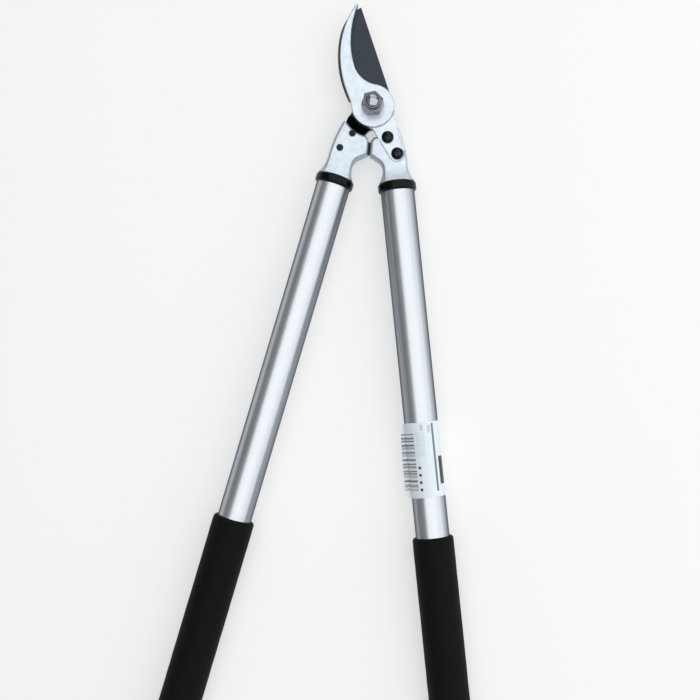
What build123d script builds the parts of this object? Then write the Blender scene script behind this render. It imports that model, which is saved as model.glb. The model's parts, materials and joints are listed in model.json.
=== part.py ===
from build123d import *
from collections import namedtuple
from math import cos, radians, sin
import os

# Bypass loppers with long tube handles, closed, lying flat.
#
# Frame: +Y runs towards the jaw tips, +X to the right, +Z up, seen by someone who looks down on the
# tool.  The handles spread evenly to both sides of the YZ plane.  The origin is the middle of the
# tool's outline, on the surface that its two grips lie on.
#
# Two halves cross at the pivot.  The right half carries the hook (the counter blade) on its upper
# side, the left half carries the cutting blade on its under side.  Otherwise the left half is the
# right one turned over about the middle line, so each half is drawn on planes of its own: +x points
# outwards, +y towards the jaws and +z towards the side that its cutter lies on.

# ---- whole tool -------------------------------------------------------------------------------
overall_length = 700.0
handle_angle = 11.2             # each handle from the middle line, closed
axis_offset = 14.1              # handle axis from a parallel line through the pivot
tip_reach = 88.0                # jaw tips from the pivot, along the middle line

# ---- fits -------------------------------------------------------------------------------------
running_gap = 0.05              # between pieces that turn on each other
fit_gap = 0.05                  # radial, between round pieces that are fixed in each other
recess_gap = 0.3                # between a tang and the wall of its recess

# ---- hook, the counter blade ------------------------------------------------------------------
hub_radius = 18.8               # of hook and blade
hook_thickness = 7.5
hook_tang_thickness = 5.5
hook_edge_round = 0.7
hook_tip = (-21.4, tip_reach)
hook_tip_width = 1.8            # blunt end of the hook
hook_back_foot = 0.6            # inside the hub's edge
hook_back = ((-28.6, 0.858 * tip_reach), (-33.2, 0.54 * tip_reach), (-30.0, 25.9),
             (hook_back_foot - hub_radius, 0.0))
hook_edge_middle = (-24.8, 0.66 * tip_reach)
hook_edge_foot = (-8.2, hub_radius - 5.952)  # inside the hub
throat_radius = 24.0            # curves from the hook's edge and back into the hub

# ---- cutting blade ----------------------------------------------------------------------------
blade_thickness = 4.5
blade_tip = (18.8, tip_reach)       # on the left half, so outwards is the hook's side
blade_edge_middle = ((31.2, 0.845 * tip_reach), (35.6, 0.545 * tip_reach), (32.2, 26.5))
blade_edge_foot = (21.7, 3.3)
blade_spine_middle = (1.1, 0.545 * tip_reach)
blade_spine_foot = (-14.0, 13.6)
bevel_width = 8.0
edge_land = 0.4                 # thickness that is left at the cutting edge

# ---- tangs of hook and blade, drawn along the tang --------------------------------------------
tang_angle = 36.0               # tang from the middle line
tang_shoulder = (11.3, -20.5)   # the outer edge tapers from here
tang_outer = 2.8                # outer edge beside the lower screw
tang_inner = 10.1               # inner edge from a parallel line through the pivot
tang_blend = 5.0                # soft inside corners at the hub
screw_across = -2.8
screw_drops = {"upper": 3.3, "lower": 20.0}     # from the bracket's top edge

# ---- button-head screws -----------------------------------------------------------------------
screw_radius = 3.0
screw_head_radius = 5.3
screw_head_height = 4.0
screw_head_rim = 1.3            # upright rim under the dome
screw_socket = 4.0              # across flats
screw_socket_depth = 2.0
screw_inset = 0.4               # screw end from the bracket's face
screw_clearance = 0.25          # radial, in the tang

# ---- pivot bolt, nut and washers --------------------------------------------------------------
bolt_radius = 5.0
bolt_end = 1.5                  # beyond the nut
bolt_dome = 1.6                 # height of its rounded end
bolt_head_height = 6.4
hexagon = 17.0                  # bolt head and nut, across flats
hexagon_chamfer = 1.2
nut_turn = 20.0                 # a corner of the nut from the X axis
nut_height = 8.5
nut_rim_height = 3.0            # round rim that holds the nylon ring
nut_rim_radius = 7.0
nut_rim_round = 0.8
nylon_radius = 5.8
nylon_height = 2.2
nylon_sunk = 0.4                # below the rim's edge
washer_radius = 10.0
washer_clearance = 0.25         # radial, round the bolt
front_washer_thickness = 2.5
back_washer_thickness = 1.5
washer_chamfer = 0.4

# ---- brackets ---------------------------------------------------------------------------------
plate_back = 8.0                # from the mating plane of hook and blade
plate_front = 6.0               # nose and neck on the cutter's side of it
hub_clearance = 8.2             # from the other half's hub to the bracket's top edge
outer_top = (18.6, -12.0)
outer_bulge = (24.0, -33.5)
neck_half_width = 11.15
arch_depth = 8.1                # from the nose to the arch's foot
arch_radius = 9.0
neck_length = 13.0              # from the plate to the flange
nose_setback = 1.0              # nose face from the middle line
nose_drop = 3.4                 # from the plate's top edge to the nose
nose_height = 12.4
nose_slope = (7.8, -21.0)       # the nose's upper slope points to this place, near the pivot
bracket_round = 3.0
corner_round = 2.0
flange_proud = 0.5              # sides of the flange beyond the tube's radius
flange_height = 9.5             # half of it
flange_corner = 6.5
flare_steps = 4
neck_proud = 0.05               # neck beyond the faces of the plate
spigot_length = 34.0

# ---- rubber bumpers in the noses --------------------------------------------------------------
bumper_length = 9.6
bumper_height = 8.0
bumper_depth = 4.0              # from the middle line

# ---- handles ----------------------------------------------------------------------------------
tube_radius = 15.0
tube_wall = 1.5
collar_length = 8.5
collar_proud = 2.1              # beyond the tube's radius
collar_round = 2.6
sleeve_wall = 1.5
sleeve_length = 24.0
grip_at = 383.4                 # along the handle
grip_wall = 3.4
grip_round = 3.0
cap_flange = 3.0
cap_setback = 0.4               # edge of the cap inside the grip's
cap_round = 1.5
plug_wall = 2.0
plug_length = 22.0

# ---- paper label on the right tube ------------------------------------------------------------
label_at = 281.4
label_length = 66.0
label_paper = 0.2
label_flag = 6.5                # beyond the tube's side

# ---- what follows from the sizes --------------------------------------------------------------
bracket_top = hub_radius + hub_clearance
screws_along = {place: -bracket_top - drop for place, drop in screw_drops.items()}
nose_from = -bracket_top - nose_drop
nose_to = nose_from - nose_height
arch_foot = arch_depth - nose_to                # along the handle, as are the next ones
neck_start = arch_foot + arch_radius / 2        # the arch is round up to here
flange_at = neck_start + neck_length
flange_radius = tube_radius + flange_proud
collar_radius = tube_radius + collar_proud
grip_radius = tube_radius + grip_wall
cap_radius = grip_radius - cap_setback
pivot = Vector(0, overall_length / 2 - tip_reach, grip_radius)
seat = running_gap / 2                          # underside of hook and blade on their own halves
tube_bore = tube_radius - tube_wall
spigot_radius = tube_bore - sleeve_wall - 2 * fit_gap
tube_at = flange_at + collar_length
cap_corner = axis_offset - (cap_radius - cap_round)
butt_drop = overall_length - tip_reach - cap_round + cap_corner * sin(radians(handle_angle))
butt_at = cap_round + butt_drop / cos(radians(handle_angle))
tube_end = butt_at - cap_flange

Half = namedtuple("Half", "name middle handle tang tang_thickness")


def turned(plane, angle):
    """The plane turned about its own z."""
    return Plane(plane.origin, x_dir=plane.x_dir.rotate(Axis((0, 0, 0), plane.z_dir), angle),
                 z_dir=plane.z_dir)


def make_half(name, outwards, tang_thickness):
    """One half of the tool: its planes along the middle line, the handle and the tang."""
    middle = Plane(pivot, x_dir=(outwards, 0, 0), z_dir=(0, 0, outwards))
    return Half(name, middle, turned(middle, handle_angle), turned(middle, tang_angle),
                tang_thickness)


right = make_half("right", 1, hook_tang_thickness)
left = make_half("left", -1, blade_thickness)


def from_middle(x, y):
    """A point given on the middle plane of a half, on its handle plane."""
    return Vector(x, y).rotate(Axis.Z, -handle_angle)


def along_handle(half, distance):
    """Plane square to the handle's axis, facing the butt."""
    centre = half.handle.from_local_coords(Vector(axis_offset, -distance, 0))
    return Plane(centre, x_dir=half.handle.x_dir, z_dir=-half.handle.y_dir)


def hub_corners(sketch):
    """Inside corners where an outline runs into the hub's circle."""
    return sketch.vertices().filter_by(lambda v: abs(Vector(v).length - hub_radius) < 0.01)


def tang_profile(gap=0.0):
    """Tang on the tang plane, grown by a gap for its recess."""
    inner, outer = -tang_inner - gap, tang_outer + gap
    shoulder, shoulder_along = tang_shoulder[0] + gap, tang_shoulder[1]
    end, end_radius = screws_along["lower"], (outer - inner) / 2
    with BuildSketch() as profile:
        with BuildLine():
            Polyline((inner, end), (inner, 0), (shoulder, 0), (shoulder, shoulder_along),
                     (outer, end))
            ThreePointArc((outer, end), (outer - end_radius, end - end_radius), (inner, end))
        make_face()
    return profile.sketch


def screw_spots():
    """Places of both screws on the tang plane."""
    return Locations(*((screw_across, along) for along in screws_along.values()))


def finish(piece, label):
    """Name a finished piece and write it."""
    piece.part.label = label
    export_step(piece.part, f"parts/{label}.step")


os.makedirs("parts", exist_ok=True)

# ---- hook -------------------------------------------------------------------------------------
with BuildPart() as hook:
    with BuildSketch(right.middle.offset(seat)) as hook_arm:
        with BuildLine():
            blunt_end = Line(hook_tip, (hook_tip[0] - hook_tip_width, tip_reach - hook_tip_width / 2))
            hook_outside = Spline(blunt_end @ 1, *hook_back)
            hook_edge = ThreePointArc(hook_tip, hook_edge_middle, hook_edge_foot)
            Polyline(hook_outside @ 1, (0, 0), hook_edge @ 1)
        make_face()
        Circle(hub_radius)
        fillet(hub_corners(hook_arm), throat_radius)
    extrude(amount=hook_thickness)
    fillet(hook.faces().sort_by(Axis.Z)[-1].edges(), hook_edge_round)
    with BuildSketch(right.tang.offset(seat)) as hook_tang:
        Circle(hub_radius)
        add(tang_profile())
        fillet(hub_corners(hook_tang), tang_blend)
    extrude(amount=hook_tang_thickness)
    with BuildSketch(right.tang.offset(seat)):
        with screw_spots():
            Circle(screw_radius + screw_clearance)
    extrude(amount=hook_tang_thickness, mode=Mode.SUBTRACT)
    with BuildSketch(right.middle.offset(seat)):
        Circle(bolt_radius + fit_gap)
    extrude(amount=hook_thickness, mode=Mode.SUBTRACT)
finish(hook, "hook")

# ---- cutting blade ----------------------------------------------------------------------------
with BuildPart() as cutting_blade:
    with BuildSketch(left.middle.offset(seat)):
        with BuildLine():
            blade_edge = Spline(blade_tip, *blade_edge_middle, blade_edge_foot)
            blade_spine = ThreePointArc(blade_tip, blade_spine_middle, blade_spine_foot)
            Polyline(blade_edge @ 1, (0, 0), blade_spine @ 1)
        make_face()
    extrude(amount=blade_thickness)
    under_face = cutting_blade.faces().sort_by(Axis.Z)[0]
    edge_line = under_face.edges().sort_by(Axis.X)[0]
    chamfer(edge_line, blade_thickness - edge_land, bevel_width)
    with BuildSketch(left.tang.offset(seat)) as blade_tang:
        Circle(hub_radius)
        add(tang_profile())
        fillet(hub_corners(blade_tang), tang_blend)
    extrude(amount=blade_thickness)
    with BuildSketch(left.tang.offset(seat)):
        with screw_spots():
            Circle(screw_radius + screw_clearance)
    extrude(amount=blade_thickness, mode=Mode.SUBTRACT)
    with BuildSketch(left.middle.offset(seat)):
        Circle(bolt_radius + running_gap)
    extrude(amount=blade_thickness, mode=Mode.SUBTRACT)
finish(cutting_blade, "cutting_blade")


# ---- brackets ---------------------------------------------------------------------------------
def make_bracket(half):
    """Bracket: plate with nose and arch, recess for the tang, flared neck and round spigot."""
    neck_outer, neck_inner = axis_offset + neck_half_width, axis_offset - neck_half_width
    with BuildPart() as bracket:
        with BuildSketch(half.handle.offset(-plate_back)) as plate:
            with BuildLine():
                outside = ThreePointArc(outer_top, outer_bulge, (neck_outer, -neck_start))
                Polyline(outside @ 1, (neck_inner, -neck_start), (neck_inner, -arch_foot),
                         from_middle(nose_setback, nose_to), from_middle(nose_setback, nose_from),
                         from_middle(*nose_slope), (0, 0), outside @ 0)
            make_face()
            Circle(bracket_top, mode=Mode.SUBTRACT)
            fillet(plate.vertices().sort_by_distance((neck_inner, -arch_foot))[0], arch_radius)
            fillet(plate.vertices().sort_by_distance(outer_top)[0], corner_round)
        extrude(amount=plate_back + plate_front)
        rims = bracket.faces().filter_by(Axis.Z).edges()
        neck_rims, *other_rims = rims.group_by(Axis(half.handle.origin, half.handle.y_dir))
        fillet([rim for group in other_rims for rim in group], bracket_round)
        with BuildSketch(half.tang.offset(seat)):
            add(tang_profile(recess_gap))
            with Locations((screw_across, screws_along["lower"])):
                Rectangle(2 * bracket_top, 2 * bracket_top, align=(Align.MIN, Align.MIN))
        extrude(amount=plate_front, mode=Mode.SUBTRACT)
        for step in range(flare_steps + 1):
            share = step / flare_steps
            swell = share**2
            half_width = neck_half_width + (flange_radius - neck_half_width) * swell
            front = plate_front + (flange_height - plate_front) * swell
            back = plate_back + (flange_height - plate_back) * swell
            corner = bracket_round + (flange_corner - bracket_round) * swell
            with BuildSketch(along_handle(half, neck_start + (flange_at - neck_start) * share)):
                with Locations((0, (front - back) / 2)):
                    RectangleRounded(2 * (half_width + neck_proud), front + back + 2 * neck_proud,
                                     corner)
        loft()
        with BuildSketch(along_handle(half, flange_at)):
            Circle(spigot_radius)
        extrude(amount=spigot_length)
        with BuildSketch(half.tang.offset(seat)):
            with screw_spots():
                Circle(screw_radius + fit_gap)
        extrude(amount=-plate_back - seat, mode=Mode.SUBTRACT)
        with BuildSketch(half.middle.offset(-bumper_height / 2 - fit_gap)):
            with Locations((0, (nose_from + nose_to) / 2)):
                Rectangle(2 * (bumper_depth + fit_gap), bumper_length + 2 * fit_gap)
        extrude(amount=bumper_height + 2 * fit_gap, mode=Mode.SUBTRACT)
    return bracket


def make_bumper(half):
    """Rubber block in the nose, which meets its twin on the middle line."""
    with BuildPart() as bumper:
        with BuildSketch(half.middle.offset(-bumper_height / 2)):
            with Locations((0, (nose_from + nose_to) / 2)):
                Rectangle(bumper_depth, bumper_length, align=(Align.MIN, Align.CENTER))
        extrude(amount=bumper_height)
    return bumper


# ---- screws -----------------------------------------------------------------------------------
def make_screw(half, along):
    """Button-head socket screw through the tang, its end near the bracket's far face."""
    face = half.tang.offset(seat + half.tang_thickness)
    spot = Plane(face.from_local_coords(Vector(screw_across, along, 0)), x_dir=face.x_dir,
                 z_dir=face.z_dir)
    shank = half.tang_thickness + seat + plate_back - screw_inset
    dome_foot, dome_top = (screw_head_radius, screw_head_rim), (0, screw_head_height)
    with BuildPart() as screw:
        with BuildSketch(Plane(spot.origin, x_dir=spot.x_dir, z_dir=-spot.y_dir)):
            with BuildLine():
                dome = TangentArc(dome_top, dome_foot, tangent=(1, 0))
                Polyline(dome @ 1, (screw_head_radius, 0), (screw_radius, 0), (screw_radius, -shank),
                         (0, -shank), dome @ 0)
            make_face()
        revolve(axis=Axis(spot.origin, spot.z_dir))
        with BuildSketch(spot.offset(screw_head_height)):
            RegularPolygon(screw_socket / 2, 6, major_radius=False)
        extrude(amount=-screw_socket_depth, mode=Mode.SUBTRACT)
    return screw


# ---- handles ----------------------------------------------------------------------------------
def make_collar(half):
    """Plastic collar: a rounded ring between bracket and tube, with a sleeve into the tube."""
    with BuildPart() as collar:
        with BuildSketch(along_handle(half, flange_at)):
            Circle(collar_radius)
        extrude(amount=collar_length)
        fillet(collar.edges(), collar_round)
        with BuildSketch(along_handle(half, tube_at)):
            Circle(tube_bore - fit_gap)
        extrude(amount=sleeve_length)
        with BuildSketch(along_handle(half, flange_at)):
            Circle(spigot_radius + fit_gap)
        extrude(amount=collar_length + sleeve_length, mode=Mode.SUBTRACT)
    return collar


def make_tube(half):
    with BuildPart() as tube:
        with BuildSketch(along_handle(half, tube_at)):
            Circle(tube_radius)
            Circle(tube_bore, mode=Mode.SUBTRACT)
        extrude(amount=tube_end - tube_at)
    return tube


def make_grip(half):
    """Foam sleeve over the tube, rounded where the hand slides on."""
    with BuildPart() as grip:
        with BuildSketch(along_handle(half, grip_at)):
            Circle(grip_radius)
        extrude(amount=tube_end - grip_at)
        fillet(grip.edges().sort_by(Axis(half.handle.origin, half.handle.y_dir))[-1], grip_round)
        with BuildSketch(along_handle(half, grip_at)):
            Circle(tube_radius + fit_gap)
        extrude(amount=tube_end - grip_at, mode=Mode.SUBTRACT)
    return grip


def make_cap(half):
    """End cap: a flange over the ends of tube and grip, and a hollow plug in the tube."""
    with BuildPart() as cap:
        with BuildSketch(along_handle(half, tube_end)):
            Circle(cap_radius)
        extrude(amount=cap_flange)
        fillet(cap.edges().sort_by(Axis(half.handle.origin, half.handle.y_dir))[0], cap_round)
        with BuildSketch(along_handle(half, tube_end)):
            Circle(tube_bore - fit_gap)
            Circle(tube_bore - fit_gap - plug_wall, mode=Mode.SUBTRACT)
        extrude(amount=-plug_length)
    return cap


for half in (right, left):
    finish(make_bracket(half), f"bracket_{half.name}")
    finish(make_bumper(half), f"bumper_{half.name}")
    finish(make_collar(half), f"collar_{half.name}")
    finish(make_tube(half), f"tube_{half.name}")
    finish(make_grip(half), f"grip_{half.name}")
    finish(make_cap(half), f"end_cap_{half.name}")

for half, cutter in ((right, "hook"), (left, "blade")):
    for place, along in screws_along.items():
        finish(make_screw(half, along), f"{cutter}_screw_{place}")

# ---- pivot ------------------------------------------------------------------------------------
front = right.middle.offset(seat + hook_thickness)
back = left.middle.offset(seat + blade_thickness + running_gap)
nut_seat = turned(front, nut_turn).offset(front_washer_thickness)
bolt_seat = back.offset(back_washer_thickness)
nut_top = nut_seat.offset(nut_height + nut_rim_height)
nylon_seat = nut_top.offset(-nylon_sunk - nylon_height)
bolt_length = nut_top.origin.Z + bolt_end - bolt_seat.origin.Z


def make_washer(plane, thickness):
    with BuildPart() as washer:
        with BuildSketch(plane):
            Circle(washer_radius)
        extrude(amount=thickness)
        chamfer(washer.edges(), washer_chamfer)
        with BuildSketch(plane):
            Circle(bolt_radius + washer_clearance)
        extrude(amount=thickness, mode=Mode.SUBTRACT)
    return washer


def hexagon_block(plane, height):
    """Hexagonal block whose far corners are turned off."""
    with BuildPart() as block:
        with BuildSketch(plane):
            Circle(hexagon / 2 / cos(radians(30)))
        extrude(amount=height)
        far_edge = block.edges().sort_by(Axis(plane.origin, plane.z_dir))[-1]
        chamfer(far_edge, hexagon_chamfer / 2, hexagon_chamfer)
        with BuildSketch(plane):
            RegularPolygon(hexagon / 2, 6, major_radius=False)
        extrude(amount=height, mode=Mode.INTERSECT)
    return block.part


finish(make_washer(front, front_washer_thickness), "washer_front")
finish(make_washer(back, back_washer_thickness), "washer_back")

with BuildPart() as pivot_bolt:
    add(hexagon_block(bolt_seat, bolt_head_height))
    with BuildSketch(Plane(bolt_seat.origin, x_dir=(1, 0, 0), z_dir=(0, -1, 0))):
        with BuildLine():
            end_arc = TangentArc((0, bolt_length), (bolt_radius, bolt_length - bolt_dome),
                                 tangent=(1, 0))
            Polyline(end_arc @ 1, (bolt_radius, 0), (0, 0), end_arc @ 0)
        make_face()
    revolve(axis=Axis(bolt_seat.origin, (0, 0, 1)))
finish(pivot_bolt, "pivot_bolt")

with BuildPart() as pivot_nut:
    add(hexagon_block(nut_seat, nut_height))
    with BuildSketch(nut_seat.offset(nut_height)):
        Circle(nut_rim_radius)
    extrude(amount=nut_rim_height)
    fillet(pivot_nut.edges().sort_by(Axis.Z)[-1], nut_rim_round)
    with BuildSketch(nut_seat):
        Circle(bolt_radius + fit_gap)
    extrude(amount=nut_height + nut_rim_height, mode=Mode.SUBTRACT)
    with BuildSketch(nylon_seat):
        Circle(nylon_radius + fit_gap)
    extrude(amount=nylon_height + nylon_sunk, mode=Mode.SUBTRACT)
finish(pivot_nut, "pivot_nut")

with BuildPart() as nylon_ring:
    with BuildSketch(nylon_seat):
        Circle(nylon_radius)
        Circle(bolt_radius + fit_gap, mode=Mode.SUBTRACT)
    extrude(amount=nylon_height)
finish(nylon_ring, "nylon_ring")

# ---- label ------------------------------------------------------------------------------------
with BuildPart() as label:
    with BuildSketch(along_handle(right, label_at)):
        Circle(tube_radius + label_paper)
        with Locations((-tube_radius, 0)):
            Rectangle(label_flag, 2 * label_paper, align=(Align.MAX, Align.CENTER))
        Circle(tube_radius, mode=Mode.SUBTRACT)
    extrude(amount=label_length)
finish(label, "label")
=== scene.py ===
"""Finish of the bypass loppers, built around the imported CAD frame.

Lengths are in metres and in the frame of the CAD: +Y towards the jaw tips, +X to the right,
+Z up, with the tool lying on Z = 0.
"""

import json
from math import atan2, cos, pi, radians, sin

import bpy
from mathutils import Matrix, Vector

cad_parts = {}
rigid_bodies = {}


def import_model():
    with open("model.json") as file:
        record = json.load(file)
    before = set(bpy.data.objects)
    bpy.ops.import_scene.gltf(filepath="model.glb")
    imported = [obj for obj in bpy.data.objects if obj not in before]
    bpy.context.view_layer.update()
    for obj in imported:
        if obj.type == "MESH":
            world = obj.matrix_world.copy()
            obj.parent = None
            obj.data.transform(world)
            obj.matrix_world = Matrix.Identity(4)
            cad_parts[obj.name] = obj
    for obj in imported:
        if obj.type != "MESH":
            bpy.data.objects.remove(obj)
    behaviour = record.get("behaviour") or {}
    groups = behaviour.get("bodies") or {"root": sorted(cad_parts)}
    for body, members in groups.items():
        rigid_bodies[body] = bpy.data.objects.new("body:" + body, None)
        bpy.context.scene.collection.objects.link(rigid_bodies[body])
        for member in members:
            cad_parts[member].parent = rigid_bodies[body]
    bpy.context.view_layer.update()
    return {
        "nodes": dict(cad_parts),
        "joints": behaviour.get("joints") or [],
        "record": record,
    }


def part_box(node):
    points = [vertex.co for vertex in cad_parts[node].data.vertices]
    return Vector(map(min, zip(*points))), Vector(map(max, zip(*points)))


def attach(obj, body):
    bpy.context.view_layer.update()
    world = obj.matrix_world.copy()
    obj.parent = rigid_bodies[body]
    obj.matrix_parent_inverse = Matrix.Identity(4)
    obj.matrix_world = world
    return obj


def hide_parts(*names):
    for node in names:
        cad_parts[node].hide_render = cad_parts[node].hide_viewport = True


for leftover in list(bpy.data.objects):
    bpy.data.objects.remove(leftover)

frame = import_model()
nodes = frame["nodes"]
mounts = {mount["name"]: mount for mount in frame["record"]["mounts"]}
pivot = Vector(frame["joints"][0]["pos_m"])
grip_mount = mounts["grip_right"]
HOOK_BODY, BLADE_BODY = "hook_half", "blade_half"

# ---- sizes of the pieces ------------------------------------------------------------------
HANDLE_ANGLE = atan2(grip_mount["axis"][0], -grip_mount["axis"][1])     # from the middle line
TUBE_RADIUS = 0.015

GRIP_RADIUS = grip_mount["dims"]["r_mm"] / 1000
GRIP_STRAIGHT = grip_mount["dims"]["length_mm"] / 1000
GRIP_ROUND = 0.003              # round end of the foam, beyond its straight part
GRIP_ROUND_STEPS = 8
GRIP_BORE = 0.01505
GRIP_SIDES = 96
GRIP_RINGS = 110
DENT_DEPTH = 0.0004             # unevenness of the foam's skin
DENT_INWARDS = 0.7              # share of that depth that lies below the skin
DENT_SPACING = 0.014
ON_END, ON_WALL = 1e-5, 1e-4    # how near an end or a round wall its points are

FILM = 0.00015                  # thickness of the label
FILM_GAP = 0.00003              # between the label and the tube
FILM_GRID = (150, 60)           # faces round the tube and along it
# Width of the flag at shares of the label's length, from the end near the jaws.
FLAG_OUTLINE = ((0.0, 0.0006), (0.06, 0.0030), (0.13, 0.0039), (0.90, 0.0062), (1.0, 0.0026))

SMOOTH_ANGLE = radians(35)

# ---- print on the unrolled label: from and to round the tube, then from and to along it ---
BLOCK = (0.0030, 0.0106, 0.0310, 0.0555)
RULE = (0.0133, 0.0154, 0.0016, 0.0610)
HEADINGS = ((0.0168, 0.0190, 0.0030, 0.0095), (0.0232, 0.0256, 0.0025, 0.0068))
FINE_ROWS = (0.0228, 0.0308, 0.0085, 0.0300)
TICKS = (0.0280, 0.0302, 0.0370, 0.0610)
BARS = (0.0322, 0.0520, 0.0085, 0.0595)
TICKS_PER_METRE, TICK_SHARE = 156.0, 0.36
ROWS_PER_METRE, ROW_SHARE = 620.0, 0.5
BARS_PER_METRE, STROKES_PER_METRE = 480.0, 1400.0

# ---- colours ------------------------------------------------------------------------------
# The second colour on the next line is painted shade, darkening the tube's flanks.
ANODISED, ANODISED_PAINTED_SHADE = (0.635, 0.675, 0.710, 1.0), (0.190, 0.210, 0.232, 1.0)
ANODISED_RIM = (0.16, 0.18, 0.21, 1.0)          # tint of the metal seen along its surface
SILVER, SILVER_RIM = (0.610, 0.680, 0.740, 1.0), (0.5, 0.52, 0.55, 1.0)
SLIDING_COAT, COAT_SPECK = (0.019, 0.030, 0.044, 1.0), (0.044, 0.058, 0.076, 1.0)
# The first colour on the next line is painted shade: the hub's shadow on the blade behind the
# pivot.
TANG_PAINTED_SHADE, GROUND_STEEL = (0.0012, 0.0018, 0.0018, 1.0), (0.55, 0.56, 0.58, 1.0)
# The second colour on the next line is painted shade: a darker copy of the zinc, for the nut.
BLACK_OXIDE, SHADED_NUT_ZINC = (0.020, 0.024, 0.028, 1.0), (0.13, 0.145, 0.165, 1.0)
BRIGHT_ZINC = (0.45, 0.47, 0.49, 1.0)
COLLAR_BLACK, CAP_BLACK = (0.0015, 0.0019, 0.0021, 1.0), (0.0075, 0.0078, 0.0082, 1.0)
NYLON_BLACK, RUBBER_BLACK = (0.012, 0.014, 0.017, 1.0), (0.010, 0.011, 0.012, 1.0)
FOAM_BLACK = (0.0019, 0.0024, 0.0026, 1.0)
PAPER, PAPER_SHADE = (0.78, 0.86, 0.92, 1.0), (0.2, 0.24, 0.28, 1.0)
INK, PALE_INK = (0.018, 0.024, 0.032, 1.0), (0.30, 0.36, 0.42, 1.0)
FLOOR_COLOUR, WHITE = (0.93, 0.93, 0.93, 1.0), (1.0, 1.0, 1.0, 1.0)

# ---- where the finishes and the painted shade change --------------------------------------
FLANK_FROM, FLANK_TO = 0.82, 0.45       # upward part of the normal, over a tube's flank
FLANK_PAINTED_SHADE = 0.72                   # share of the painted flank shade there
STREAK_SHARE = 0.6                      # the rest of a tube's unevenness is mottling
SPECK_FROM, SPECK_TO = 0.58, 0.72       # height of the grain
BEVEL_START, BEVEL_END = (-0.97, -0.93), (-0.80, -0.84)     # upward part of the normal
TANG_FROM, TANG_TO = 0.006, 0.010       # the blade is painted near black from here, behind the pivot: painted shade of the hub

# ---- floor, lights and camera -------------------------------------------------------------
FLOOR_SIZE = 300.0
FLOOR_WHITE = 0.50              # share of plain white in the floor, beside light and shadow
FAR_WHITE = 0.93                # the same where the lamps' light ends, and the backdrop's white
LIT_FLOOR, UNLIT_FLOOR = 1.0, 2.4       # the lamps' light ends between these distances
HORIZON_GLOW, SKY_GLOW = 0.55, 0.12
HORIZON_TOP, SKY_BOTTOM = 0.14, 0.20    # upward part of the direction
# Each softbox's middle, size, radiance, and tilt about Y and turn about Z from facing down.
SOFTBOXES = {
    "overhead": ((0.56, 0.30, 1.55), (2.8, 3.0), 1.30, 0.0, 0.0),
    "left_wing": ((-1.55, 0.10, 1.45), (1.2, 3.0), 0.15, -45.0, 0.0),
    "right_wing": ((2.60, 0.0, 1.05), (1.5, 3.4), 1.15, 66.0, 0.0),
    "far_wing": ((0.30, 3.00, 1.10), (1.8, 3.4), 0.95, 66.0, 90.0),
    "near_wing": ((0.30, -3.00, 1.10), (1.8, 3.4), 0.80, 66.0, -90.0),
}

CAMERA_HEIGHT = 0.82            # over the middle plane of the pivot
CAMERA_SPOT = (0.0485, 0.0019)
CAMERA_TURN = radians(5.37)
CAMERA_SHIFT = (-0.0714, 0.0786)
VIEW_WIDTH = 0.6213             # seen by the camera in the pivot's middle plane
SENSOR = 36.0                   # in millimetres


# ---- modelling helpers --------------------------------------------------------------------
def select_only(piece):
    """Makes one piece active and selected, and nothing else."""
    bpy.ops.object.select_all(action="DESELECT")
    piece.select_set(True)
    bpy.context.view_layer.objects.active = piece


def pick(piece, kind, chosen):
    """Selects, in edit mode, the edges or faces whose corners chosen accepts."""
    bpy.ops.mesh.select_mode(type=kind)
    bpy.ops.mesh.select_all(action="DESELECT")
    bpy.ops.object.mode_set(mode="OBJECT")
    corners = piece.data.vertices
    for element in {"EDGE": piece.data.edges, "FACE": piece.data.polygons}[kind]:
        element.select = chosen([corners[index].co for index in element.vertices])
    bpy.ops.object.mode_set(mode="EDIT")


def use_modifier(piece, kind, **settings):
    """Adds a modifier to a piece and applies it."""
    select_only(piece)
    modifier = piece.modifiers.new(kind.lower(), kind)
    for name, value in settings.items():
        setattr(modifier, name, value)
    bpy.ops.object.modifier_apply(modifier=modifier.name)


def settle(piece, centre, towards_butt):
    """Turns a piece made with +X across, +Y up and +Z towards the butt into its place."""
    up = Vector((0, 0, 1))
    turn = Matrix((up.cross(towards_butt), up, towards_butt)).transposed()
    piece.matrix_world = Matrix.Translation(centre) @ turn.to_4x4()
    select_only(piece)
    bpy.ops.object.transform_apply(location=True, rotation=True, scale=True)
    bpy.ops.object.shade_smooth_by_angle(angle=SMOOTH_ANGLE)


def handle_line(side):
    """A point of a handle's axis, and the axis towards the butt."""
    mount = mounts[f"grip_{side}"]
    return Vector(mount["pos_m"]), Vector(mount["axis"])


def on_axis(side, y):
    """The point of a handle's axis at the frame's height y."""
    start, towards_butt = handle_line(side)
    return start + towards_butt * ((y - start.y) / towards_butt.y)


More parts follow.
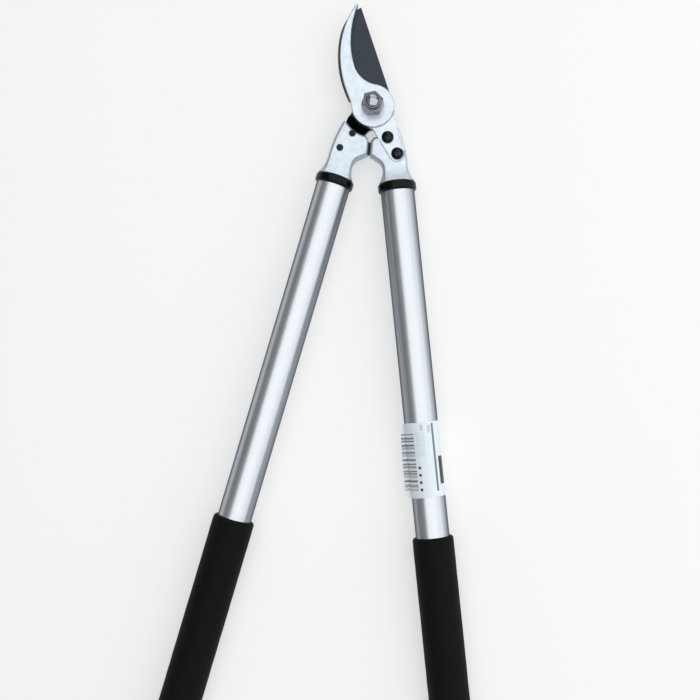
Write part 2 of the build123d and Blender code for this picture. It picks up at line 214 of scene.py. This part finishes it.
# ---- foam grips ---------------------------------------------------------------------------
def foam_grip(side, body):
    """Foam sleeve with a bore, a soft round end and a slightly uneven skin."""
    centre, towards_butt = handle_line(side)
    length = GRIP_STRAIGHT + GRIP_ROUND
    half = length / 2
    bpy.ops.mesh.primitive_cylinder_add(vertices=GRIP_SIDES, radius=GRIP_RADIUS, depth=length)
    grip = bpy.context.object
    grip.name = f"foam_{side}"

    def on_bore(corners):
        return all(corner.xy.length < GRIP_BORE + ON_WALL for corner in corners)

    def on_front_rim(corners):
        return all(corner.z < -half + ON_END and corner.xy.length > GRIP_RADIUS - ON_WALL
                   for corner in corners)

    def lengthwise(corners):
        return abs(corners[0].z - corners[1].z) > half

    bpy.ops.object.mode_set(mode="EDIT")
    for end in (-half, half):
        pick(grip, "FACE", lambda corners: all(abs(corner.z - end) < ON_END for corner in corners))
        bpy.ops.mesh.inset(thickness=GRIP_RADIUS - GRIP_BORE)
        bpy.ops.mesh.delete(type="ONLY_FACE")
    pick(grip, "EDGE", on_bore)
    bpy.ops.mesh.bridge_edge_loops()
    pick(grip, "EDGE", on_front_rim)
    bpy.ops.mesh.bevel(offset=GRIP_ROUND, segments=GRIP_ROUND_STEPS, affect="EDGES")
    pick(grip, "EDGE", lengthwise)
    bpy.ops.mesh.subdivide(number_cuts=GRIP_RINGS)
    bpy.ops.mesh.select_all(action="SELECT")
    bpy.ops.mesh.normals_make_consistent(inside=False)
    bpy.ops.object.mode_set(mode="OBJECT")

    skin = grip.vertex_groups.new(name="skin")
    skin.add([point.index for point in grip.data.vertices
              if point.co.xy.length > GRIP_RADIUS - GRIP_ROUND], 1.0, "ADD")
    dents = bpy.data.textures.new(f"dents_{side}", "CLOUDS")
    dents.noise_scale = DENT_SPACING
    use_modifier(grip, "DISPLACE", texture=dents, strength=DENT_DEPTH, mid_level=DENT_INWARDS,
                 vertex_group="skin")
    settle(grip, centre - towards_butt * (GRIP_ROUND / 2), towards_butt)
    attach(grip, body)
    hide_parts(f"grip_{side}")
    return grip


# ---- label --------------------------------------------------------------------------------
def flag_width(share):
    """Width of the flag at a share of the label's length."""
    for (low, narrow), (high, wide) in zip(FLAG_OUTLINE, FLAG_OUTLINE[1:]):
        if share <= high:
            return narrow + (wide - narrow) * (share - low) / (high - low)
    return FLAG_OUTLINE[-1][1]


def label_film(body):
    """Film round the right tube, with its two ends stuck together as a flag beside it."""
    low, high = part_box("label")
    radius = TUBE_RADIUS + FILM_GAP
    flag_reach = TUBE_RADIUS + max(width for _, width in FLAG_OUTLINE)
    top = on_axis("right", high.y - radius * sin(HANDLE_ANGLE))
    bottom = on_axis("right", low.y + flag_reach * sin(HANDLE_ANGLE))
    length = (top - bottom).length
    around, along = FILM_GRID
    bpy.ops.mesh.primitive_grid_add(x_subdivisions=around, y_subdivisions=along, size=1)
    film = bpy.context.object
    film.name = "label_film"
    seam = pi * radius
    unrolled = []
    for point in film.data.vertices:
        share = point.co.y + 0.5
        run = 2 * point.co.x * (seam + flag_width(share))
        unrolled.append((run, share * length))
        beyond = abs(run) - seam
        if beyond > 0:
            across, height = -radius - beyond, FILM_GAP if run > 0 else -FILM_GAP
        else:
            across, height = radius * cos(run / radius), radius * sin(run / radius)
        point.co = (across, height, (share - 0.5) * length)
    print_map = film.data.uv_layers.active.data
    for loop in film.data.loops:
        print_map[loop.index].uv = unrolled[loop.vertex_index]
    use_modifier(film, "SOLIDIFY", thickness=FILM, offset=1)
    settle(film, (top + bottom) / 2, Vector(grip_mount["axis"]))
    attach(film, body)
    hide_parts("label")
    return film


foam_right = foam_grip("right", HOOK_BODY)
foam_left = foam_grip("left", BLADE_BODY)
film = label_film(HOOK_BODY)


# ---- node helpers -------------------------------------------------------------------------
def feed(tree, socket, value):
    """Sets a socket to a value, or links it to the socket that supplies the value."""
    if isinstance(value, bpy.types.NodeSocket):
        tree.links.new(value, socket)
    else:
        socket.default_value = value


def add(tree, kind, inputs=None, **settings):
    """A node with its settings; each input is a value, or the socket that feeds it."""
    node = tree.nodes.new(kind)
    for name, value in settings.items():
        setattr(node, name, value)
    for name, value in (inputs or {}).items():
        feed(tree, node.inputs[name], value)
    return node


def maths(tree, operation, *values):
    """The result of an operation on values or sockets."""
    return add(tree, "ShaderNodeMath", dict(enumerate(values)), operation=operation).outputs[0]


def times(tree, first, second):
    """The product of two values or sockets."""
    return maths(tree, "MULTIPLY", first, second)


def spread(tree, value, low, high, to_low=0.0, to_high=1.0):
    """A value moved from one range to another, and kept inside it."""
    limits = {"From Min": low, "From Max": high, "To Min": to_low, "To Max": to_high}
    return add(tree, "ShaderNodeMapRange", {"Value": value, **limits}).outputs["Result"]


def axes_of(tree, vector):
    """The X, Y and Z of a vector."""
    return add(tree, "ShaderNodeSeparateXYZ", {"Vector": vector}).outputs


def noise(tree, vector, scale, **inputs):
    """Soft noise at a scale."""
    inputs = {"Vector": vector, "Scale": scale, **inputs}
    return add(tree, "ShaderNodeTexNoise", inputs).outputs["Fac"]


def blend_colours(tree, share, first, second):
    """Two colours mixed; share is the part of the second."""
    mix = add(tree, "ShaderNodeMix", data_type="RGBA")
    sockets = {"Factor": share, "A": first, "B": second}
    for socket in mix.inputs:
        if socket.enabled and socket.name in sockets:
            feed(tree, socket, sockets[socket.name])
    return next(socket for socket in mix.outputs if socket.enabled)


def tinted(colour, factor):
    """A colour made lighter or darker."""
    return (*(min(channel * factor, 1.0) for channel in colour[:3]), 1.0)


def new_group(name, inputs, outputs):
    """An empty node group with named inputs and outputs."""
    tree = bpy.data.node_groups.new(name, "ShaderNodeTree")
    for socket, (kind, value) in inputs.items():
        made = tree.interface.new_socket(socket, in_out="INPUT", socket_type=kind)
        if value is not None:
            made.default_value = value
    for socket, kind in outputs.items():
        tree.interface.new_socket(socket, in_out="OUTPUT", socket_type=kind)
    given, result = tree.nodes.new("NodeGroupInput"), tree.nodes.new("NodeGroupOutput")
    return tree, given.outputs, result.inputs


def use_group(tree, group, **values):
    """A node group placed in a material with its own values."""
    inputs = {name.replace("_", " "): value for name, value in values.items()}
    return add(tree, "ShaderNodeGroup", inputs, node_tree=group).outputs


# ---- node groups --------------------------------------------------------------------------
FLOAT, VECTOR = "NodeSocketFloat", "NodeSocketVector"


def make_grain_group():
    """Fine grain for bump, and a slow mottling of colour and gloss."""
    tree, given, result = new_group(
        "fine_grain",
        {"Vector": (VECTOR, None), "Scale": (FLOAT, 2000.0), "Mottle Scale": (FLOAT, 60.0)},
        {"Height": FLOAT, "Mottle": FLOAT})
    grain = noise(tree, given["Vector"], given["Scale"], Detail=3.0)
    mottle = noise(tree, given["Vector"], given["Mottle Scale"], Detail=4.0, Roughness=0.6)
    tree.links.new(grain, result["Height"])
    tree.links.new(spread(tree, mottle, 0.3, 0.7), result["Mottle"])
    return tree


def make_brush_group():
    """Fine lines that run along Y, of uneven strength."""
    tree, given, result = new_group(
        "brushed_lines",
        {"Vector": (VECTOR, None), "Lines": (FLOAT, 4000.0), "Run": (FLOAT, 30.0)},
        {"Height": FLOAT, "Streak": FLOAT})
    axes = axes_of(tree, given["Vector"])
    scales = {"X": given["Lines"], "Y": given["Run"], "Z": given["Lines"]}
    stretched = add(tree, "ShaderNodeCombineXYZ",
                    {axis: times(tree, axes[axis], scale) for axis, scale in scales.items()})
    fine = noise(tree, stretched.outputs[0], 1.0, Detail=2.0)
    broad = noise(tree, stretched.outputs[0], 0.12, Detail=2.0)
    tree.links.new(fine, result["Height"])
    tree.links.new(spread(tree, broad, 0.3, 0.7), result["Streak"])
    return tree


def make_edge_group():
    """Edges and corners within a width, broken up a little, where a finish changes or where shade
    or a highlight is painted.
    """
    tree, given, result = new_group(
        "edge_wear_and_shade", {"Vector": (VECTOR, None), "Width": (FLOAT, 0.0006)}, {"Edge": FLOAT})
    rounded = add(tree, "ShaderNodeBevel", {"Radius": given["Width"]}, samples=4).outputs[0]
    straight = add(tree, "ShaderNodeNewGeometry").outputs["Normal"]
    likeness = add(tree, "ShaderNodeVectorMath", {0: rounded, 1: straight},
                   operation="DOT_PRODUCT").outputs["Value"]
    flat, bent = 0.99, 0.85
    edge = spread(tree, likeness, flat, bent)
    broken = spread(tree, noise(tree, given["Vector"], 350.0, Detail=4.0), 0.35, 0.6)
    tree.links.new(times(tree, edge, broken), result["Edge"])
    return tree


grain_group = make_grain_group()
brush_group = make_brush_group()
edge_group = make_edge_group()


# ---- material helpers ---------------------------------------------------------------------
def new_material(name, **constants):
    """A material with its shader's constants set, its tree, shader inputs and coordinates."""
    material = bpy.data.materials.new(name)
    material.use_nodes = True
    tree = material.node_tree
    shader = tree.nodes["Principled BSDF"].inputs
    for socket, value in constants.items():
        shader[socket.replace("_", " ")].default_value = value
    place = add(tree, "ShaderNodeTexCoord").outputs
    return material, tree, shader, place


def grain_of(tree, place, fine, slow):
    """A piece's grain; fine is the scale of its bump and slow that of its mottling."""
    return use_group(tree, grain_group, Vector=place["Object"], Scale=fine, Mottle_Scale=slow)


def edges_of(tree, place, width):
    """A piece's edges within a width."""
    return use_group(tree, edge_group, Vector=place["Object"], Width=width)["Edge"]


def mottled(tree, grain, colour, dark, light):
    """A colour that drifts between two tints of itself."""
    return blend_colours(tree, grain["Mottle"], tinted(colour, dark), tinted(colour, light))


def drifting(tree, grain, start, end):
    """A roughness that drifts between two values."""
    return spread(tree, grain["Mottle"], 0.0, 1.0, start, end)


def dress(tree, shader, colour, roughness, height, relief, depth):
    """Feeds a shader its colour, its roughness and a bump."""
    bump = add(tree, "ShaderNodeBump", {"Height": height, "Strength": relief, "Distance": depth})
    tree.links.new(colour, shader["Base Color"])
    tree.links.new(roughness, shader["Roughness"])
    tree.links.new(bump.outputs["Normal"], shader["Normal"])


# ---- materials ----------------------------------------------------------------------------
def tube_metal(side):
    """Drawn and anodised tube: fine lines along the handle, and painted shade on its flanks."""
    turn = HANDLE_ANGLE if side == "right" else -HANDLE_ANGLE
    material, tree, shader, place = new_material(f"tube_metal_{side}", Metallic=1.0,
                                                 Specular_Tint=ANODISED_RIM)
    lined_up = add(tree, "ShaderNodeMapping",
                   {"Vector": place["Object"], "Rotation": (0, 0, -turn)}).outputs[0]
    lines = use_group(tree, brush_group, Vector=lined_up, Lines=5000.0, Run=25.0)
    grain = grain_of(tree, place, fine=3500.0, slow=35.0)
    uneven = maths(tree, "ADD", times(tree, lines["Streak"], STREAK_SHARE),
                   times(tree, grain["Mottle"], 1 - STREAK_SHARE))
    bright = blend_colours(tree, uneven, tinted(ANODISED, 0.94), tinted(ANODISED, 1.06))
    # Painted shade: the flanks, where the normal turns sideways, are darkened towards the second
    # colour.
    level = maths(tree, "ABSOLUTE", axes_of(tree, place["Normal"])["Z"])
    flank = times(tree, spread(tree, level, FLANK_FROM, FLANK_TO), FLANK_PAINTED_SHADE)
    height = maths(tree, "ADD", lines["Height"], times(tree, grain["Height"], 0.5))
    dress(tree, shader, blend_colours(tree, flank, bright, ANODISED_PAINTED_SHADE),
          spread(tree, uneven, 0.0, 1.0, 0.27, 0.36), height, relief=0.25, depth=0.00002)
    return material


def cast_metal(name, roughness, fine, depth):
    """Blasted and clear-coated light metal, with painted shade darkening its edges."""
    material, tree, shader, place = new_material(name, Metallic=1.0, Specular_Tint=SILVER_RIM)
    grain = grain_of(tree, place, fine=fine, slow=240.0)
    edge = edges_of(tree, place, width=0.0014)
    body = mottled(tree, grain, SILVER, dark=0.92, light=1.06)
    rough = drifting(tree, grain, roughness * 1.1, roughness * 0.9)
    # Painted shade: the edges are blended to a dark tint of the silver.
    dress(tree, shader, blend_colours(tree, edge, body, tinted(SILVER, 0.38)),
          maths(tree, "ADD", rough, times(tree, edge, 0.05)),
          grain["Height"], relief=0.45, depth=depth)
    return material


def blade_coat():
    """Dark sliding coat with specks, rubbed bare at its edges, a tang painted near black as the
    hub's painted shade, and a bare bevel.
    """
    material, tree, shader, place = new_material("blade_coat", Specular_IOR_Level=0.38)
    grain = grain_of(tree, place, fine=1300.0, slow=420.0)
    edge = edges_of(tree, place, width=0.0004)
    upward = axes_of(tree, place["Normal"])["Z"]
    bevel = times(tree, spread(tree, upward, *BEVEL_START), spread(tree, upward, *BEVEL_END))
    # Painted shade: behind the pivot the blade is blended to near black, for the hub's shadow on
    # it.
    tang = spread(tree, axes_of(tree, place["Object"])["Y"],
                  pivot.y - TANG_FROM, pivot.y - TANG_TO)
    specks = spread(tree, grain["Height"], SPECK_FROM, SPECK_TO)
    coat = mottled(tree, grain, SLIDING_COAT, dark=0.62, light=1.22)
    coat = blend_colours(tree, specks, coat, COAT_SPECK)
    coat = blend_colours(tree, tang, coat, TANG_PAINTED_SHADE)
    coat = blend_colours(tree, times(tree, edge, 0.5), coat, GROUND_STEEL)
    bare = maths(tree, "MAXIMUM", bevel, times(tree, edge, 0.4))
    tree.links.new(maths(tree, "MAXIMUM", bare, tang), shader["Metallic"])
    rough = maths(tree, "SUBTRACT", drifting(tree, grain, 0.38, 0.52), times(tree, bevel, 0.12))
    dress(tree, shader, blend_colours(tree, bevel, coat, GROUND_STEEL), rough,
          grain["Height"], relief=0.3, depth=0.00003)
    return material


def plated_steel(name, colour, roughness, wear_and_highlight):
    """Turned and plated steel, mottled; the last argument is how much brighter its edges are,
    partly wear and partly painted highlight.
    """
    material, tree, shader, place = new_material(name, Metallic=1.0)
    grain = grain_of(tree, place, fine=2600.0, slow=260.0)
    edge = edges_of(tree, place, width=0.0004)
    body = mottled(tree, grain, colour, dark=0.8, light=1.15)
    # The brighter edges are partly wear and partly painted highlight.
    dress(tree, shader, blend_colours(tree, edge, body, tinted(colour, wear_and_highlight)),
          drifting(tree, grain, roughness * 1.2, roughness * 0.8),
          grain["Height"], relief=0.25, depth=0.00002)
    return material


def moulded_plastic(name, colour, roughness, gloss):
    """Black moulded plastic with a faint sheen and a fine skin."""
    material, tree, shader, place = new_material(name, Specular_IOR_Level=gloss)
    grain = grain_of(tree, place, fine=2600.0, slow=110.0)
    dress(tree, shader, mottled(tree, grain, colour, dark=0.8, light=1.25),
          drifting(tree, grain, roughness * 0.85, roughness * 1.15),
          grain["Height"], relief=0.25, depth=0.00003)
    return material


def soft_rubber():
    """Smooth and dull black rubber of the bumpers."""
    material, tree, shader, place = new_material("bumper_rubber", Specular_IOR_Level=0.35)
    grain = grain_of(tree, place, fine=1800.0, slow=150.0)
    dress(tree, shader, mottled(tree, grain, RUBBER_BLACK, dark=0.85, light=1.15),
          drifting(tree, grain, 0.55, 0.7), grain["Height"], relief=0.3, depth=0.00004)
    return material


def foam():
    """Closed-cell foam: small cells, a dry skin and a faint bloom."""
    material, tree, shader, place = new_material("grip_foam", Specular_IOR_Level=0.12)
    grain = grain_of(tree, place, fine=900.0, slow=300.0)
    cells = add(tree, "ShaderNodeTexVoronoi", {"Vector": place["Object"], "Scale": 2100.0})
    height = maths(tree, "ADD", cells.outputs["Distance"], times(tree, grain["Height"], 0.8))
    dress(tree, shader, mottled(tree, grain, FOAM_BLACK, dark=0.3, light=2.4),
          drifting(tree, grain, 0.62, 0.78), height, relief=0.55, depth=0.00012)
    return material


def label_print():
    """White film with a block, a rule, fine rows, ticks and bars, which say nothing."""
    material, tree, shader, place = new_material("label_print", Specular_IOR_Level=0.4)
    unrolled = axes_of(tree, place["UV"])
    around, along = unrolled["X"], unrolled["Y"]
    along_only = add(tree, "ShaderNodeCombineXYZ", {"Y": along}).outputs[0]

    def between(value, low, high):
        return times(tree, maths(tree, "GREATER_THAN", value, low),
                     maths(tree, "LESS_THAN", value, high))

    def patch(from_around, to_around, from_along, to_along):
        return times(tree, between(around, from_around, to_around),
                     between(along, from_along, to_along))

    def repeated(value, per_metre, share):
        return maths(tree, "LESS_THAN",
                     maths(tree, "FRACT", times(tree, value, per_metre)), share)

    def random_lines(scale, low, high):
        return spread(tree, noise(tree, along_only, scale, Detail=1.0), low, high)

    bars = times(tree, patch(*BARS), random_lines(BARS_PER_METRE, 0.42, 0.62))
    ticks = times(tree, repeated(along, TICKS_PER_METRE, TICK_SHARE), patch(*TICKS))
    strokes = times(tree, repeated(around, ROWS_PER_METRE, ROW_SHARE),
                    random_lines(STROKES_PER_METRE, 0.40, 0.50))
    fine_rows = times(tree, patch(*FINE_ROWS), strokes)
    headings = maths(tree, "MAXIMUM", *(patch(*heading) for heading in HEADINGS))
    printed = PAPER
    for mark, strength, colour in ((fine_rows, 0.40, PALE_INK), (headings, 0.55, PALE_INK),
                                   (bars, 0.85, INK), (ticks, 1.0, INK),
                                   (patch(*RULE), 0.80, INK), (patch(*BLOCK), 1.0, INK)):
        printed = blend_colours(tree, times(tree, mark, strength), printed, colour)
    grain = grain_of(tree, place, fine=1200.0, slow=120.0)
    shaded = blend_colours(tree, times(tree, grain["Mottle"], 0.06), printed, PAPER_SHADE)
    dress(tree, shader, shaded, drifting(tree, grain, 0.32, 0.42),
          grain["Height"], relief=0.15, depth=0.00003)
    return material


bracket_metal = cast_metal("bracket_metal", 0.42, fine=1700.0, depth=0.00005)
hook_metal = cast_metal("hook_metal", 0.36, fine=2600.0, depth=0.00003)
collar_plastic = moulded_plastic("collar_plastic", COLLAR_BLACK, 0.18, gloss=0.17)
cap_plastic = moulded_plastic("cap_plastic", CAP_BLACK, 0.45, gloss=0.35)
bumper_rubber = soft_rubber()
# The screws' and the nut's brighter edges are partly painted highlight.
dark_steel = plated_steel("dark_steel", BLACK_OXIDE, 0.26, wear_and_highlight=9.0)
nut_steel = plated_steel("nut_steel", SHADED_NUT_ZINC, 0.18, wear_and_highlight=5.5)
pivot_steel = plated_steel("pivot_steel", BRIGHT_ZINC, 0.18, wear_and_highlight=1.6)
nylon = moulded_plastic("nylon", NYLON_BLACK, 0.38, gloss=0.3)
foam_skin = foam()

finishes = {
    "hook": hook_metal,
    "cutting_blade": blade_coat(),
    "bracket_right": bracket_metal,
    "bracket_left": bracket_metal,
    "bumper_right": bumper_rubber,
    "bumper_left": bumper_rubber,
    "collar_right": collar_plastic,
    "collar_left": collar_plastic,
    "tube_right": tube_metal("right"),
    "tube_left": tube_metal("left"),
    "end_cap_right": cap_plastic,
    "end_cap_left": cap_plastic,
    "hook_screw_upper": dark_steel,
    "hook_screw_lower": dark_steel,
    "blade_screw_upper": dark_steel,
    "blade_screw_lower": dark_steel,
    "washer_front": pivot_steel,
    "washer_back": pivot_steel,
    "pivot_bolt": pivot_steel,
    "pivot_nut": nut_steel,
    "nylon_ring": nylon,
}
for name, material in finishes.items():
    nodes[name].material_slots[0].material = material
for foam_piece in (foam_right, foam_left):
    foam_piece.data.materials.append(foam_skin)
film.data.materials.append(label_print())


# ---- floor, lights and camera -------------------------------------------------------------
def pale_floor():
    """Plain pale floor that keeps the tool's shadow and stays white where no lamp reaches."""
    bpy.ops.mesh.primitive_plane_add(size=FLOOR_SIZE)
    floor = bpy.context.object
    floor.name = "floor"
    material, tree, _, place = new_material("pale_floor", Base_Color=FLOOR_COLOUR, Roughness=0.9,
                                            Specular_IOR_Level=0.1)
    ray = add(tree, "ShaderNodeLightPath").outputs
    distance = add(tree, "ShaderNodeVectorMath", {0: place["Object"]},
                   operation="LENGTH").outputs["Value"]
    direct = times(tree, ray["Is Camera Ray"],
                   spread(tree, distance, LIT_FLOOR, UNLIT_FLOOR, FLOOR_WHITE, FAR_WHITE))
    mirrored = times(tree, maths(tree, "MAXIMUM", ray["Is Glossy Ray"],
                                 ray["Is Transmission Ray"]), FLOOR_WHITE)
    white = add(tree, "ShaderNodeEmission", {"Color": WHITE, "Strength": 1.0})
    mixed = add(tree, "ShaderNodeMixShader", {0: maths(tree, "MAXIMUM", direct, mirrored),
                                              1: tree.nodes["Principled BSDF"].outputs[0],
                                              2: white.outputs[0]})
    tree.links.new(mixed.outputs[0], tree.nodes["Material Output"].inputs["Surface"])
    floor.data.materials.append(material)


def softbox(name, spot, size, radiance, tilt, turn):
    """Rectangular soft light of a given brightness, which itself stays out of sight."""
    bpy.ops.object.light_add(type="AREA", location=spot, rotation=(0, radians(tilt), radians(turn)))
    light = bpy.context.object
    light.name = name
    light.data.shape = "RECTANGLE"
    light.data.size, light.data.size_y = size
    light.data.energy = radiance * pi * size[0] * size[1]
    light.visible_camera = False


def backdrop():
    """World that is dim overhead, paler towards the horizon, and white where it is seen."""
    world = bpy.data.worlds.new("studio")
    bpy.context.scene.world = world
    world.use_nodes = True
    tree = world.node_tree
    background = tree.nodes["Background"].inputs
    background["Color"].default_value = WHITE
    upward = axes_of(tree, add(tree, "ShaderNodeTexCoord").outputs["Generated"])["Z"]
    glow = spread(tree, upward, HORIZON_TOP, SKY_BOTTOM, HORIZON_GLOW, SKY_GLOW)
    seen = times(tree, add(tree, "ShaderNodeLightPath").outputs["Is Camera Ray"], FAR_WHITE)
    tree.links.new(maths(tree, "MAXIMUM", glow, seen), background["Strength"])


def place_camera():
    """Camera that looks straight down on the tool."""
    bpy.ops.object.camera_add(location=(*CAMERA_SPOT, pivot.z + CAMERA_HEIGHT),
                              rotation=(0, 0, CAMERA_TURN))
    camera = bpy.context.object
    camera.name = "camera"
    camera.data.sensor_width = SENSOR
    camera.data.lens = SENSOR * CAMERA_HEIGHT / VIEW_WIDTH
    camera.data.shift_x, camera.data.shift_y = CAMERA_SHIFT
    bpy.context.scene.camera = camera


pale_floor()
backdrop()
for name, settings in SOFTBOXES.items():
    softbox(name, *settings)
place_camera()
bpy.context.scene.view_settings.view_transform = "Standard"
